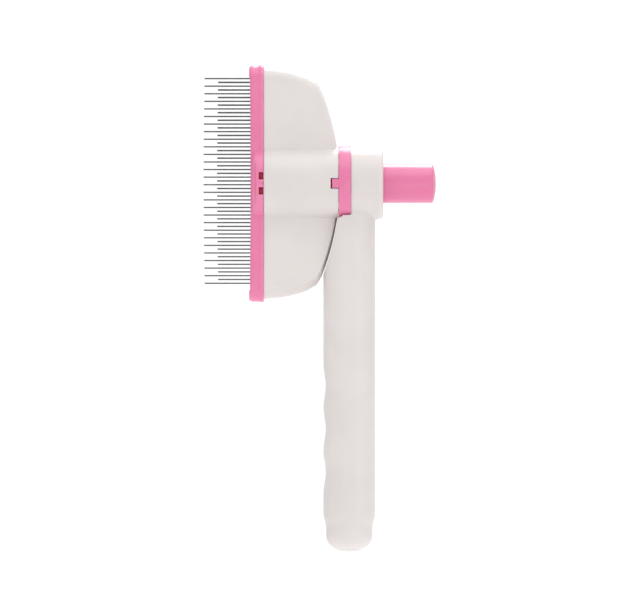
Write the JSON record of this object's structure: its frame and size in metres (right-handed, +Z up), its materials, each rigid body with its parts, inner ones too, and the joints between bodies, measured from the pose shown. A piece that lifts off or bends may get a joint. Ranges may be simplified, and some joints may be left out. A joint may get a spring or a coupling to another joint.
{
  "type": "slicker brush",
  "caption": "Pet grooming brush with long and short steel pins, a button that pushes a hair-stripping plate forward along them, and a head that swivels on its handle",
  "frame": {"origin": "Centre of the small flat in the middle of the domed end of the handle", "axes": "+Z up along the handle to the head; -X the way the pins point and the pressed button travels; +Y across the brush. The swivel and the button share one axis, along X at Z = 136 mm"},
  "size_m": [0.0859, 0.0288, 0.1797],
  "materials": {
    "ivory_plastic": "satin ivory ABS, lightly glossy",
    "pink_plastic": "glossy pink ABS",
    "red_plastic": "deep red moulded plastic, seen through the plate's windows",
    "inner_plastic": "natural moulded plastic inside the head",
    "pin_steel": "polished stainless steel wire",
    "spring_steel": "bare spring steel",
    "screw_steel": "zinc-plated steel"
  },
  "bodies": {
    "handle": {"handle_left": "ivory_plastic", "handle_right": "ivory_plastic", "end_plug": "ivory_plastic", "wave_washer": "spring_steel", "handle_screw_1": "screw_steel", "handle_screw_2": "screw_steel", "handle_screw_3": "screw_steel"},
    "head": {"head_shell": "ivory_plastic", "swivel_ring": "pink_plastic", "pin_base": "ivory_plastic", "backing_plate": "inner_plastic", "return_spring": "spring_steel", "pin_row_1": "pin_steel", "pin_row_2": "pin_steel", "pin_row_3": "pin_steel", "pin_row_4": "pin_steel", "base_screw_1": "screw_steel", "base_screw_2": "screw_steel", "base_screw_3": "screw_steel", "base_screw_4": "screw_steel", "ring_screw_1": "screw_steel", "ring_screw_2": "screw_steel"},
    "ejector": {"ejector_plate": "pink_plastic", "plunger_fork": "red_plastic", "push_button": "pink_plastic"}
  },
  "joints": [
    {"name": "head_turn", "type": "hinge", "parent": "handle", "child": "head", "pos_m": [0, 0, 0.136], "axis": [1, 0, 0], "continuous": true},
    {"name": "eject", "type": "slide", "parent": "head", "child": "ejector", "axis": [-1, 0, 0], "range_m": [0, 0.017], "stiffness_N_per_m": 250, "springref_m": -0.012, "deforming": ["return_spring"]}
  ]
}
